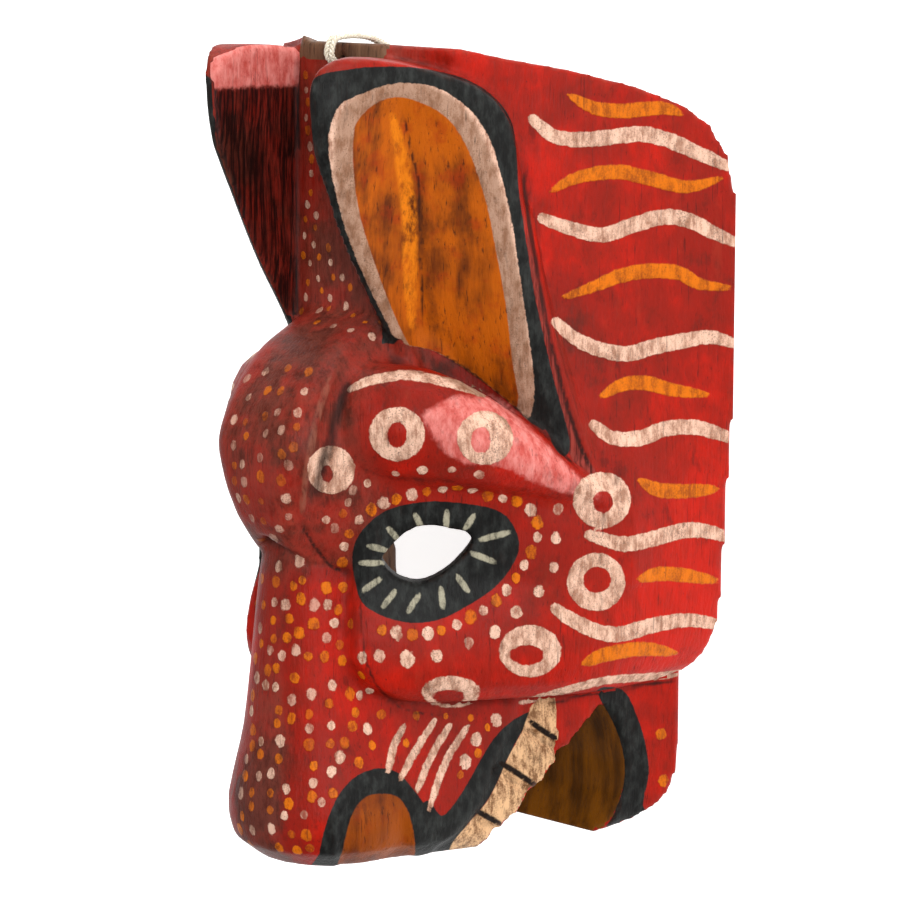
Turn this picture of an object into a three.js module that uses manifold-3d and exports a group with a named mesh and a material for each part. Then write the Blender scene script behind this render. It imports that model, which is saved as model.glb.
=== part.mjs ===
// Carved and painted animal mask, made from one block of wood, with a doubled hanging cord.
// Millimetres. The mask lies on its back rim: x runs across the face, y up the face and z out of it.
import * as THREE from 'three';
import { LoftGeometry } from 'three/addons/geometries/LoftGeometry.js';
import { mergeVertices } from 'three/addons/utils/BufferGeometryUtils.js';
import Module from 'manifold-3d';

// Main sizes of the block
const RIM_HALF_WIDTH = 98;
const CROWN_TOP_Y = 158;
const CHIN_BOTTOM_Y = -149;
const FLAP_BOTTOM_Y = -84;
const WALL = 11;
const RIM_WALL = 7;
const STRIP_FRONT_Z = 110;
const STRIP_HALF_WIDTH = 24;

// Plan of the face: half sections as [x, z], from the front edge of the cheek flap to the back rim
const FACE_PLAN = [[33, 133.5], [51, 112.5], [68, 85]];
// Middle of the side panel and shoulder of the crown, as [y, x] and [y, z]
const PANEL_MID_X = [[-20, 82], [-3, 80], [8, 76], [27, 71], [47, 66], [65, 62.5], [84, 60], [119, 57.5],
  [160, 57]];
const PANEL_MID_Z = [[-20, 55], [-3, 54], [8, 55], [27, 58.5], [47, 63], [65, 66.5], [84, 70], [119, 74],
  [160, 74]];
const SHOULDER_X = [[100, 40], [150, 46]];
const SHOULDER_Z = [[100, 88], [150, 97]];

// Side profiles as [z, y]
const CROWN_SIDE = [[175, 8], [110, 0], [92, -2], [80, -5], [57, -9.8], [34, -16.5], [18, -23.5], [9, -31],
  [3, -42], [0, -56]].map(([z, rise]) => [z, CROWN_TOP_Y + rise]);
const FLAP_SIDE = [[0, 18], [2.5, 10], [8, 3.5], [19, 0.5], [45, 0], [107, 0], [117, 2], [126, 8], [131, 17],
  [134, 28], [136, 44], [175, 44]].map(([z, rise]) => [z, FLAP_BOTTOM_Y + rise]);
const HEAD_SIDE = [...CROWN_SIDE, ...FLAP_SIDE];
const ABOVE_CROWN_Y = CROWN_TOP_Y + 17;

// Shared helpers
const wasm = await Module();
wasm.setup();

function solid(geometry) {
  const plain = new THREE.BufferGeometry();
  plain.setAttribute('position', geometry.getAttribute('position'));
  if (geometry.index) plain.setIndex(geometry.index);
  const merged = mergeVertices(plain, 1e-4);
  const mesh = new wasm.Mesh({
    numProp: 3,
    vertProperties: merged.attributes.position.array,
    triVerts: new Uint32Array(merged.index.array),
  });
  return new wasm.Manifold(mesh);
}

function smoothstep(from, to, value) {
  const t = Math.min(1, Math.max(0, (value - from) / (to - from)));
  return t * t * (3 - 2 * t);
}

// Value at y of a smooth curve through stations [y, value], which rise in y
function through(stations, y) {
  const last = stations.length - 1;
  if (y <= stations[0][0]) return stations[0][1];
  if (y >= stations[last][0]) return stations[last][1];
  let i = 0;
  while (y > stations[i + 1][0]) i += 1;
  const slope = (a, b) => (stations[b][1] - stations[a][1]) / (stations[b][0] - stations[a][0]);
  const here = slope(i, i + 1);
  const before = i > 0 ? slope(i - 1, i) : here;
  const after = i + 1 < last ? slope(i + 1, i + 2) : here;
  const easy = (p, q) => (p * q <= 0 ? 0 : (2 * p * q) / (p + q));
  const width = stations[i + 1][0] - stations[i][0];
  const t = (y - stations[i][0]) / width;
  const m0 = easy(before, here) * width;
  const m1 = easy(here, after) * width;
  const t2 = t * t;
  const t3 = t2 * t;
  return (2 * t3 - 3 * t2 + 1) * stations[i][1] + (t3 - 2 * t2 + t) * m0
    + (3 * t2 - 2 * t3) * stations[i + 1][1] + (t3 - t2) * m1;
}

function steps(from, to, count) {
  return Array.from({ length: count + 1 }, (_, i) => from + ((to - from) * i) / count);
}

// Points [x, z] of a smooth curve through a few points, evenly spaced along it
function smoothPoints(points, count) {
  const curve = new THREE.SplineCurve(points.map(([a, b]) => new THREE.Vector2(a, b)));
  return curve.getSpacedPoints(count).map((p) => [p.x, p.y]);
}

// Closed section at height y from a right half that runs from the middle line to the back
function bothSides(half, y) {
  const left = half.filter(([x]) => x > 0).map(([x, z]) => [-x, z]).reverse();
  return [...left, ...half].map(([x, z]) => new THREE.Vector3(x, y, z));
}

// Twice the area of a section, as a vector square to it
function areaVector(section) {
  const sum = new THREE.Vector3();
  section.forEach((point, i) => {
    sum.add(new THREE.Vector3().crossVectors(point, section[(i + 1) % section.length]));
  });
  return sum;
}

function middle(section) {
  const sum = new THREE.Vector3();
  section.forEach((point) => sum.add(point));
  return sum.divideScalar(section.length);
}

// A closed solid through sections, which are turned round where they would face inwards
function loft(sections) {
  const along = middle(sections[1]).sub(middle(sections[0]));
  const inward = areaVector(sections[0]).dot(along) < 0;
  const turned = inward ? sections.map((section) => [...section].reverse()) : sections;
  return solid(new LoftGeometry(turned, { capStart: true, capEnd: true }));
}

// A solid whose side view is the outline [z, y], running across the face between two x
function sidePrism(outline, fromX, toX) {
  const shape = new THREE.Shape(outline.map(([z, y]) => new THREE.Vector2(-z, y)));
  const geometry = new THREE.ExtrudeGeometry(shape, { depth: toX - fromX, bevelEnabled: false });
  geometry.rotateY(Math.PI / 2);
  geometry.translate(fromX, 0, 0);
  return solid(geometry);
}

// A solid cut at 45 degrees into the right side of the face. Its outline is [u, y],
// where u is x plus the depth behind the flap front, the distance across the slanted view.
const SLANT_ZERO_Z = 135;
function slantPrism(outline, near, far) {
  const across = Math.SQRT1_2;
  const shape = new THREE.Shape(outline.map(([u, y]) => new THREE.Vector2(u * across, y)));
  const geometry = new THREE.ExtrudeGeometry(shape, { depth: near - far, bevelEnabled: false });
  geometry.translate(0, 0, far);
  geometry.rotateY(Math.PI / 4);
  geometry.translate(0, 0, SLANT_ZERO_Z);
  return solid(geometry);
}

function mirrored(made) {
  return made.mirror([1, 0, 0]);
}

function both(made) {
  return made.add(mirrored(made));
}

// Head: a broad U-shaped block with flat side panels
const RIM_WIDTHS = [[-84, 87], [-70, 89.6], [-51, 93], [-13, 95.5], [30, RIM_HALF_WIDTH],
  [160, RIM_HALF_WIDTH]];
const FLAP_TUCK = [[-84, 8], [-80, 3.8], [-75, 1.6], [-66, 0], [0, 0]];
const SOCKET = [[-84, -1], [-66, -2.5], [-56, -3.5], [-46, -6], [-38, -8], [-18, -8], [-8, -7], [4, -6],
  [30, -6]];
const SOCKET_END_X = [60, 80];

// A curve moved outwards by an amount that may depend on x
function offsetCurve(points, amountAt) {
  return points.map(([x, z], i) => {
    const a = points[Math.max(0, i - 1)];
    const b = points[Math.min(points.length - 1, i + 1)];
    const length = Math.hypot(b[0] - a[0], b[1] - a[1]);
    const amount = amountAt(x);
    return [x - ((b[1] - a[1]) / length) * amount, z + ((b[0] - a[0]) / length) * amount];
  });
}

function panelPoints(y) {
  const mid = [through(PANEL_MID_X, y), through(PANEL_MID_Z, y)];
  const rim = [through(RIM_WIDTHS, y), 0];
  return [mid, [(mid[0] + rim[0]) / 2 + 1, mid[1] / 2], rim];
}

function faceHalf(y) {
  const side = smoothPoints([...FACE_PLAN, ...panelPoints(Math.min(y, -3))], 15);
  const sunk = (x) => through(SOCKET, y) * (1 - smoothstep(...SOCKET_END_X, x));
  const moved = offsetCurve(side, (x) => sunk(x) - through(FLAP_TUCK, y));
  moved[moved.length - 1][1] = 0;
  const front = moved[0];
  return [[0, front[1] - 4], [front[0] * 0.6, front[1] - 2], ...moved];
}

function crownHalf(y) {
  const shoulder = [through(SHOULDER_X, y), through(SHOULDER_Z, y)];
  const side = smoothPoints([shoulder, ...panelPoints(y)], 10);
  const edge = [STRIP_HALF_WIDTH + 1, STRIP_FRONT_Z - 4];
  return [[0, STRIP_FRONT_Z], [STRIP_HALF_WIDTH - 3, STRIP_FRONT_Z], edge, ...side];
}

function build(half, from, to, count) {
  return loft(steps(from, to, count).map((y) => bothSides(half(y), y)));
}

const faceBlock = build(faceHalf, FLAP_BOTTOM_Y, 46, 20);
const crownBlock = build(crownHalf, -45, ABOVE_CROWN_Y - 5, 14);
const headSide = sidePrism(HEAD_SIDE, -130, 130);

// The face stands proud of the crown below a line that falls from the brow boss to the cheek
const WING_TOP = [[-60, 26], [48, 26], [71, 21], [95, 11], [115, 2], [131, -5], [147, -11], [164, -15],
  [260, -40]];
const belowWing = slantPrism([...WING_TOP, [260, -200], [-60, -200]], 200, -200);
const face = faceBlock.intersect(belowWing).intersect(mirrored(belowWing));
const CROWN_REACH = [[-5, ABOVE_CROWN_Y], [-5, -42], [175, -42], [175, ABOVE_CROWN_Y]];
const head = face.add(crownBlock.intersect(sidePrism(CROWN_REACH, -130, 130))).intersect(headSide);

// Brow wings: tapering rounded ridges from the boss back to the cheeks
// Each station is [x, y, z, half height, half thickness]
const WING_STATIONS = [
  [10, 20, 130, 20, 12], [24, 20.5, 122, 22, 14.5], [38, 19.5, 110, 22.5, 17], [50, 16, 97, 20, 18],
  [60, 8, 80, 15.5, 16], [69, 0, 66, 11, 12], [76, -6, 56.5, 6, 7.5], [81, -9.5, 50, 2, 3],
];

function ellipseRing(centre, across, up, halfAcross, halfUp, count) {
  return Array.from({ length: count }, (_, i) => {
    const angle = (i / count) * Math.PI * 2;
    return centre.clone()
      .addScaledVector(across, Math.cos(angle) * halfAcross)
      .addScaledVector(up, Math.sin(angle) * halfUp);
  });
}

function wing() {
  const UP = new THREE.Vector3(0, 1, 0);
  const path = new THREE.CatmullRomCurve3(WING_STATIONS.map(([x, y, z]) => new THREE.Vector3(x, y, z)));
  const heights = WING_STATIONS.map((s, i) => [i, s[3]]);
  const depths = WING_STATIONS.map((s, i) => [i, s[4]]);
  const last = WING_STATIONS.length - 1;
  const rings = steps(0, 1, 12).map((t) => {
    const centre = path.getPoint(t);
    const along = path.getTangent(t).setY(0).normalize();
    const out = new THREE.Vector3().crossVectors(along, UP).negate();
    return ellipseRing(centre, out, UP, through(depths, t * last), through(heights, t * last), 16);
  });
  return loft(rings);
}

// Brow boss between the eyes: a rounded front, a ridge either side and flanks that fall back to the eyes.
// Stations: [y, ridge x], [y, front z], [y, ridge rounding], [y, flank foot x] and [y, flank foot z]
const RIDGE_X = [[-33, 17.5], [-25, 16.5], [-12, 18], [0, 21], [12, 24.5], [30, 25], [44, 23.5], [60, 21]];
const BOSS_FRONTS = [[-33, 138], [-29, 142.5], [-22, 149], [-12, 154.5], [0, 157], [12, 156.5], [25, 151.5],
  [36, 144], [44, 137], [50, 128], [55, 118], [60, 106]];
const RIDGE_ROUND = [[-33, 9], [-20, 12], [0, 12], [25, 12], [60, 10]];
const FLANK_X = [[-33, 40], [-8, 40], [8, 36], [24, 31], [60, 25]];
const FLANK_Z = [[-33, 110], [-8, 110], [8, 112], [24, 114], [44, 108], [60, 96]];
const BOSS_BACK_Z = 84;
// Notch under the middle of the boss, as [x, y]
const BOSS_NOTCH = [[0, -20.5], [10, -27.5], [22, -31.5], [40, -33], [40, -50], [0, -50]];

function bossHalf(y) {
  const ridge = through(RIDGE_X, y);
  const front = through(BOSS_FRONTS, y);
  const r = through(RIDGE_ROUND, y);
  const foot = [through(FLANK_X, y), through(FLANK_Z, y)];
  const arc = steps(0, Math.PI / 3, 5).map((a) => [ridge - r + Math.sin(a) * r, front - r + Math.cos(a) * r]);
  const edge = arc[arc.length - 1];
  const towards = (t, k) => edge[k] + (foot[k] - edge[k]) * t;
  const flank = steps(0, 1, 3).slice(1).map((t) => [towards(t, 0), towards(t, 1)]);
  return [[0, front + 0.6], ...arc, ...flank, [foot[0], BOSS_BACK_Z]];
}

function boss() {
  const full = loft(steps(-33, 60, 20).map((y) => bothSides(bossHalf(y), y)));
  const notch = new THREE.Shape(BOSS_NOTCH.map(([x, y]) => new THREE.Vector2(x, y)).reverse());
  const cut = new THREE.ExtrudeGeometry(notch, { depth: 60, bevelEnabled: false });
  cut.translate(0, 0, 118);
  return full.subtract(both(solid(cut)));
}

// Snout: round in section, flaring to the muzzle. Stations: [y, radius] and [y, centre z]
const SNOUT_BOTTOM_Y = -145;
const SNOUT_RADII = [[SNOUT_BOTTOM_Y, 29.5], [-143.5, 33.3], [-140, 36.6], [-134, 39.2], [-126, 39.6],
  [-116, 36.4], [-104, 31.4], [-95, 28.3], [-83, 25.6], [-66, 23.2], [-33, 20.6], [-5, 17]];
const SNOUT_CENTRES = [[SNOUT_BOTTOM_Y, 115], [-134, 115.8], [-126, 115.8], [-116, 117.8], [-104, 120.8],
  [-83, 124.2], [-66, 125], [-33, 123.4], [-5, 118]];
const SNOUT_BACK_X = [[SNOUT_BOTTOM_Y, 60], [-100, 64], [-86, 64], [-78, 50], [-60, 36], [-5, 30]];
const SNOUT_BACK_Z = 30;

function snoutHalf(y, grow) {
  const r = through(SNOUT_RADII, y) + grow;
  const z = through(SNOUT_CENTRES, y);
  const arc = steps(0, Math.PI / 2, 10).map((a) => [Math.sin(a) * r, z + Math.cos(a) * r]);
  const back = through(SNOUT_BACK_X, y) + grow;
  const side = steps(0, 1, 4).slice(1).map((t) => [r + (back - r) * t, z + (SNOUT_BACK_Z - z) * t]);
  return [...arc, ...side];
}

function snout(grow) {
  return loft(steps(SNOUT_BOTTOM_Y, -5, 20).map((y) => bothSides(snoutHalf(y, grow), y)));
}

// Lower jaw: a low wall set back behind the open mouth
const JAW_PLAN = [[0, 42], [50, 42], [57.5, 38], [61.8, 28], [65, 18], [73.4, 0]];
const JAW_NARROWS = [[-150, 22], [-148.5, 15], [-146, 8], [-142, 3.5], [-136, 0.8], [-130, 0]];
const JAW_SIDE = [[60, -70], [60, -152], [36, CHIN_BOTTOM_Y], [26, -146.8], [15, -141.6], [7, -135.8],
  [2, -127.8], [0, -114], [0, -70]];
const MOUTH_SIDE = [
  [31, -93], [35, -97], [46, -109.5], [49, -112], [56.5, -121.5], [59.5, -124], [67, -132], [70, -134.5],
  [76.5, -142.5], [81, -150], [81, -180], [24, -180], [29, -150], [25, -141], [22, -130], [21, -118],
  [23.5, -106], [28, -96],
];

function jaw() {
  const heights = [-150, -149, -148, -146, -143, -140, -136, -130, -120, -70];
  const narrowed = (y) => JAW_PLAN.map(([x, z]) => [x > 0 ? x - through(JAW_NARROWS, y) : 0, z]);
  return loft(heights.map((y) => bothSides(narrowed(y), y)))
    .intersect(sidePrism(JAW_SIDE, -90, 90));
}

// Teeth: a band set back from the lip along the edge of the upper jaw, with three gaps a side
const TOOTH_SET_BACK = 2;
const TOOTH_BAND = [[30, -80], [66, -87], [68, -95], [77, -111], [86, -129], [99, -141], [99, -170],
  [20, -170]];
const TOOTH_GAPS = [[55.5, -105.2, 12], [68, -119.6, 11.6], [80.5, -134.5, 10.8]];
const GAP_WIDTH = 3.6;
const GAP_DEPTH = 3;

function muzzle() {
  const band = sidePrism(TOOTH_BAND, -90, 90);
  const gapDirection = 52 * (Math.PI / 180);
  let cutters = null;
  for (const [z, y, half] of TOOTH_GAPS) {
    const dz = Math.sin(gapDirection);
    const dy = Math.cos(gapDirection);
    const w = GAP_WIDTH / 2;
    const bar = sidePrism([
      [z + dz * half + dy * w, y + dy * half - dz * w],
      [z + dz * half - dy * w, y + dy * half + dz * w],
      [z - dz * half - dy * w, y - dy * half + dz * w],
      [z - dz * half + dy * w, y - dy * half - dz * w],
    ], -90, 90);
    cutters = cutters ? cutters.add(bar) : bar;
  }
  const full = snout(0);
  const inset = snout(-TOOTH_SET_BACK);
  const deep = snout(-TOOTH_SET_BACK - GAP_DEPTH);
  const teeth = inset.subtract(cutters.subtract(deep));
  return full.subtract(band).add(teeth);
}

// Ears: tall leaves that stand forward either side of the forehead strip.
// Stations by height y: front edge z, front edge x, rear edge x and z
const EAR_FRONT_Z = [[-10, 92], [27, 101], [48, 110], [58, 116], [78, 128.5], [105, 141.5], [124, 149],
  [143, 150.5], [170, 150.5]];
const EAR_FRONT_X = [[-10, 30], [48, 25], [58, 24.5], [105, 26], [143, 29], [170, 29]];
const EAR_REAR_X = [[-10, 82], [-3, 80.5], [8, 79], [27, 75], [47, 71], [65, 68], [84, 65.5], [103, 63.5],
  [119, 62.5], [170, 62.5]];
const EAR_REAR_Z = [[-10, 50], [-3, 54], [8, 58.5], [27, 63], [47, 68], [65, 72], [84, 75.5], [103, 79],
  [119, 80.5], [170, 80.5]];
// Inner hollow of the ear across the slanted view: front and rear bound, crease and depth
const HOLLOW_FRONT = [[-10, 90], [27, 76], [52, 57], [69, 47], [88, 39], [104, 33], [121, 30], [131, 32],
  [137, 40], [142, 52]];
const HOLLOW_REAR = [[-10, 135], [27, 119], [44, 115.5], [60, 112], [87, 104.5], [103, 99.5], [123, 88.5],
  [133, 78.5], [138, 70], [142, 58]];
const HOLLOW_CREASE = [[-10, 104], [27, 80], [49, 68], [94, 62.5], [139, 56], [142, 56]];
const HOLLOW_DEPTH = [[-10, 7], [40, 8], [80, 8], [115, 7], [132, 4.5], [138, 2], [142, 0.4]];
const EAR_INNER_X = 23.5;
const EAR_TOP = [[-30, 140], [11, 140], [12.5, 145], [16, 149.5], [22, 152.5], [30, 154], [41, 153.5],
  [55, 152], [70, 149.5], [82, 147], [95, 143.5], [106, 137.5], [113, 129.5], [116.5, 119], [120, 100],
  [170, 90]];

function earHalf(y) {
  const front = [through(EAR_FRONT_X, y), through(EAR_FRONT_Z, y)];
  const rear = [through(EAR_REAR_X, y), through(EAR_REAR_Z, y)];
  const slant = ([x, z]) => x + SLANT_ZERO_Z - z;
  const u0 = slant(front);
  const u1 = slant(rear);
  const length = Math.hypot(rear[0] - front[0], rear[1] - front[1]);
  const out = [-(rear[1] - front[1]) / length, (rear[0] - front[0]) / length];
  const at = (u, proud) => {
    const s = (u - u0) / (u1 - u0);
    return [
      front[0] + (rear[0] - front[0]) * s + out[0] * proud,
      front[1] + (rear[1] - front[1]) * s + out[1] * proud,
    ];
  };
  const yh = Math.min(y, 142);
  const a = through(HOLLOW_FRONT, yh);
  const b = through(HOLLOW_REAR, yh);
  const crease = through(HOLLOW_CREASE, yh);
  const depth = through(HOLLOW_DEPTH, y);
  const rimA = (u0 + a) / 2;
  const rimB = (b + u1) / 2;
  return [
    [EAR_INNER_X + 1.5, front[1] - 1.5],
    at(u0, 0),
    at(rimA, 2.2),
    at(a, 1.4),
    at(a + (crease - a) * 0.34, 1.4 - depth * 0.46),
    at(a + (crease - a) * 0.68, 1.4 - depth * 0.78),
    at(crease, 1.4 - depth),
    at(crease + (b - crease) * 0.34, 1.4 - depth * 0.78),
    at(crease + (b - crease) * 0.68, 1.4 - depth * 0.46),
    at(b, 1.4),
    at(rimB, 2),
    at(u1 - 1, 0.6),
    [rear[0] - 2, rear[1] - 5],
    [rear[0] - 16, rear[1] - 20],
    [EAR_INNER_X, Math.min(STRIP_FRONT_Z - 22, front[1] - 18)],
  ];
}

function ear() {
  const heights = [-8, 4, 16, 28, 38, 48, 56, 64, 74, 84, 94, 104, 113, 121, 127, 132, 136, 139, 142, 150, 165];
  const slab = loft(heights.map((y) => earHalf(y).map(([x, z]) => new THREE.Vector3(x, y, z))));
  const top = slantPrism([...EAR_TOP, [170, -40], [-30, -40]], 200, -200);
  return slab.intersect(top);
}

// Hollow for the wearer's face, open at the back and over the crown
const CROWN_BACK_Z = 91;
const HOLLOW_SIDE = [
  [-5, ABOVE_CROWN_Y], [CROWN_BACK_Z, ABOVE_CROWN_Y], [CROWN_BACK_Z, 60], [97, 48], [112, 30], [114, -30],
  [110, -50], [100, -66], [86, -74], [-5, -74],
];
const CHIN_HOLLOW_SIDE = [[-5, -60], [30, -60], [22, -88], [12, -104], [9.5, -116], [9, -126], [4, -134],
  [-5, -135]];
const CHIN_HOLLOW_PLAN = [[0, 40], [44, 40], [50, 26], [60, 0], [62, -6]];

function innerHalf(outer, y) {
  const side = outer(y);
  const thin = (x) => WALL + (RIM_WALL - WALL) * smoothstep(60, RIM_HALF_WIDTH - 6, x);
  const inner = offsetCurve(side.slice(1), (x) => -thin(x));
  const last = inner.length - 1;
  inner[last][1] = -5;
  return [[0, inner[0][1]], ...inner];
}

function faceHollow() {
  const low = loft(steps(-90, 30, 8).map((y) => bothSides(innerHalf(faceHalf, y), y)));
  const high = loft(steps(-80, ABOVE_CROWN_Y, 12).map((y) => bothSides(innerHalf(crownHalf, y), y)));
  const lower = slantPrism([...WING_TOP.map(([u, y]) => [u, y - 8]), [260, -200], [-60, -200]], 200, -200);
  return low.intersect(lower).intersect(mirrored(lower)).add(high)
    .intersect(sidePrism(HOLLOW_SIDE, -130, 130));
}

function chinHollow() {
  return loft([-140, -55].map((y) => bothSides(CHIN_HOLLOW_PLAN, y)))
    .intersect(sidePrism(CHIN_HOLLOW_SIDE, -90, 90));
}

// Eye holes, cut straight through along the slanted view
const EYE_OUTLINE = [[46, -29.5], [52, -24], [60, -19], [70, -17], [82, -18.5], [94, -21.5], [89, -28],
  [80, -34], [68, -38], [57, -37], [50, -33.5]];

function eyeHole() {
  const outline = smoothPoints([...EYE_OUTLINE, EYE_OUTLINE[0]], 28).slice(0, -1);
  return slantPrism(outline.reverse(), 60, -60);
}

// Nostrils: shallow arched recesses either side of the muzzle
const NOSTRIL_OUTLINE = [[23, -150], [23.5, -127], [27, -120], [33, -115.5], [41, -113.5], [50, -114],
  [57, -118], [61, -125], [62, -150]];
const NOSTRIL_DEPTH = 2.2;

function nostril() {
  return slantPrism([...NOSTRIL_OUTLINE].reverse(), 80, 0).subtract(snout(-NOSTRIL_DEPTH));
}

// Hole for the cord through the crown
const CORD_HOLE_Y = CROWN_TOP_Y - 8;
const CORD_HOLE_DIAMETER = 6;

function cordHole() {
  const geometry = new THREE.CylinderGeometry(CORD_HOLE_DIAMETER / 2, CORD_HOLE_DIAMETER / 2, 60, 12);
  geometry.rotateX(Math.PI / 2);
  geometry.translate(0, CORD_HOLE_Y, STRIP_FRONT_Z - 10);
  return solid(geometry);
}

function carve() {
  const outside = head
    .add(both(wing()))
    .add(boss())
    .add(muzzle())
    .add(jaw())
    .add(both(ear()));
  return outside
    .subtract(sidePrism(MOUTH_SIDE, -90, 90))
    .subtract(faceHollow())
    .subtract(chinHollow())
    .subtract(both(eyeHole()))
    .subtract(both(nostril()))
    .subtract(cordHole());
}

// The one solid block, without the slivers that cuts along a shared surface leave
function largest(made) {
  return made.decompose().reduce((a, b) => (b.volume() > a.volume() ? b : a));
}

function geometryOf(made) {
  const mesh = made.getMesh();
  const geometry = new THREE.BufferGeometry();
  geometry.setAttribute('position', new THREE.BufferAttribute(new Float32Array(mesh.vertProperties), 3));
  geometry.setIndex(new THREE.BufferAttribute(new Uint32Array(mesh.triVerts), 1));
  const flat = geometry.toNonIndexed();
  flat.computeVertexNormals();
  return flat;
}

// Hanging cord: two strands tied tight through the hole and over the edge of the crown
const CORD_DIAMETER = 2.2;
const STRAND_SPACING = 2.6;
const CORD_CLEARANCE = 0.6;
const KNOT_RADII = [4.2, 4.4, 3];

function strand(x) {
  const stand = CORD_DIAMETER / 2 + CORD_CLEARANCE;
  const behind = CROWN_BACK_Z - CORD_CLEARANCE - KNOT_RADII[2];
  const over = CROWN_TOP_Y + stand;
  const route = [
    [CORD_HOLE_Y, behind], [CORD_HOLE_Y, 96], [CORD_HOLE_Y, 106], [CORD_HOLE_Y + 0.8, STRIP_FRONT_Z + 3],
    [CORD_HOLE_Y + 4, STRIP_FRONT_Z + 5.5], [over - 0.8, STRIP_FRONT_Z + 3.5], [over + 0.6, 108],
    [over + 0.4, 100], [over - 0.8, 93], [CORD_HOLE_Y + 5, behind - 0.8], [CORD_HOLE_Y + 1, behind],
  ];
  const path = new THREE.CatmullRomCurve3(route.map(([y, z]) => new THREE.Vector3(x, y, z)));
  const section = new THREE.Shape();
  section.absarc(0, 0, CORD_DIAMETER / 2, 0, Math.PI * 2);
  const options = { steps: 20, curveSegments: 4, bevelEnabled: false, extrudePath: path };
  return solid(new THREE.ExtrudeGeometry(section, options));
}

function knot() {
  const geometry = new THREE.SphereGeometry(1, 12, 8);
  geometry.scale(...KNOT_RADII);
  geometry.translate(0, CORD_HOLE_Y + 0.5, CROWN_BACK_Z - CORD_CLEARANCE - KNOT_RADII[2]);
  return solid(geometry);
}

function tiedCord() {
  return [-1, 1].reduce((made, side) => made.add(strand((side * STRAND_SPACING) / 2)), knot());
}

const paintedWood = new THREE.MeshStandardMaterial({ name: 'painted_wood', color: 0xb02a1c, roughness: 0.55 });
const mask = new THREE.Mesh(geometryOf(largest(carve())), paintedWood);
mask.name = 'mask';

const cotton = new THREE.MeshStandardMaterial({ name: 'cord', color: 0xe8e2d2, roughness: 0.9 });
const hangingCord = new THREE.Mesh(geometryOf(tiedCord()), cotton);
hangingCord.name = 'hanging_cord';

// The origin is the middle of the footprint, on the surface that the mask lies on
const group = new THREE.Group();
group.add(mask, hangingCord);
const box = new THREE.Box3().setFromObject(group);
const centre = box.getCenter(new THREE.Vector3());
group.position.set(-centre.x, -centre.y, -box.min.z);

export default group;
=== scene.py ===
import math
import random

import bmesh
import bpy
import numpy as np
from mathutils import Matrix, Vector, kdtree
from mathutils.bvhtree import BVHTree


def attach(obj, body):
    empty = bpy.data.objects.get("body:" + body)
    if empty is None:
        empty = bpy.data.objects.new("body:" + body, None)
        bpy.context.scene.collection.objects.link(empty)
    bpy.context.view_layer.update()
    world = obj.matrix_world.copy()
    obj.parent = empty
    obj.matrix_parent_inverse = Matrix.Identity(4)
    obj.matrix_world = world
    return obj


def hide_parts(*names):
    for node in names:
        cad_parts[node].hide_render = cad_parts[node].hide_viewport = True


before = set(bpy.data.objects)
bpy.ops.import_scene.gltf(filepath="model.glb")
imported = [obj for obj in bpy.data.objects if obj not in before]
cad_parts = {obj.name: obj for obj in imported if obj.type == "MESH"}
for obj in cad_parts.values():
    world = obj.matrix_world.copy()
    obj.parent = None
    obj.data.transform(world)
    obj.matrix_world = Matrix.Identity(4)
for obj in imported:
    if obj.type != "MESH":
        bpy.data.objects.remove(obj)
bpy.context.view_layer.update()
scene = bpy.context.scene
MM = 0.001


# Camera: it looks down on the face from the right, a little towards the crown
TARGET = Vector((0, -0.00717, 0.053))
TURN = math.radians(45)
RAISE = math.radians(9)
DISTANCE = 1.3
LENS = 134.72
SENSOR = 36
PICTURE = 900
VIEW_BACK = Vector((math.sin(TURN) * math.cos(RAISE), math.sin(RAISE), math.cos(TURN) * math.cos(RAISE)))
VIEW_RIGHT = Vector((math.cos(TURN), 0, -math.sin(TURN)))
VIEW_UP = VIEW_BACK.cross(VIEW_RIGHT)
EYE_POINT = TARGET + VIEW_BACK * DISTANCE
PIXEL_FOCUS = LENS / SENSOR * PICTURE
PIXEL_MM = DISTANCE / PIXEL_FOCUS / MM


def make_camera():
    data = bpy.data.cameras.new("camera")
    data.lens = LENS
    data.sensor_width = SENSOR
    camera = bpy.data.objects.new("camera", data)
    turned = Matrix((VIEW_RIGHT, VIEW_UP, VIEW_BACK)).transposed()
    camera.matrix_world = Matrix.Translation(EYE_POINT) @ turned.to_4x4()
    scene.collection.objects.link(camera)
    scene.camera = camera


make_camera()


# Hanging cord: two strands of three plies, through the hole in the crown and over its top edge.
# The route is the height over the hole and z, in millimetres.
CORD_HOLE_Y = 142.83
CORD_ROUTE = [
    (0, 86.4), (0, 96), (0, 106), (0.8, 113), (4, 115.5), (8.9, 113.5), (10.1, 108), (9.9, 100), (8.7, 93),
    (5, 85.6), (1, 86.4),
]
STRAND_SPACING = 2.6
PLIES = 3
PLY_RADIUS = 0.58
PLY_OFFSET = 0.55
PLY_TURN = 4.6
KNOT_CENTRE = Vector((0, CORD_HOLE_Y + 0.5, 87.4))
KNOT_SIZE = Vector((0.95, 1.0, 1.6))
KNOT_THICKNESS = 1.7


def cord_lines():
    """Centre lines of every ply, in millimetres."""
    route = smooth_line([(CORD_HOLE_Y + rise, z) for rise, z in CORD_ROUTE], fine=16)
    lines = []
    for side in (-1, 1):
        ahead = np.gradient(route, axis=0)
        ahead /= np.linalg.norm(ahead, axis=1)[:, None]
        passed = np.concatenate([[0], np.cumsum(np.linalg.norm(np.diff(route, axis=0), axis=1))])
        for ply in range(PLIES):
            spin = 2 * math.pi * (passed / PLY_TURN * side + ply / PLIES)
            across = np.cos(spin) * PLY_OFFSET
            out = np.sin(spin) * PLY_OFFSET
            x = side * STRAND_SPACING / 2 + across
            y = route[:, 0] - ahead[:, 1] * out
            z = route[:, 1] + ahead[:, 0] * out
            lines.append(np.stack([x, y, z], axis=1))
    return lines


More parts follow.
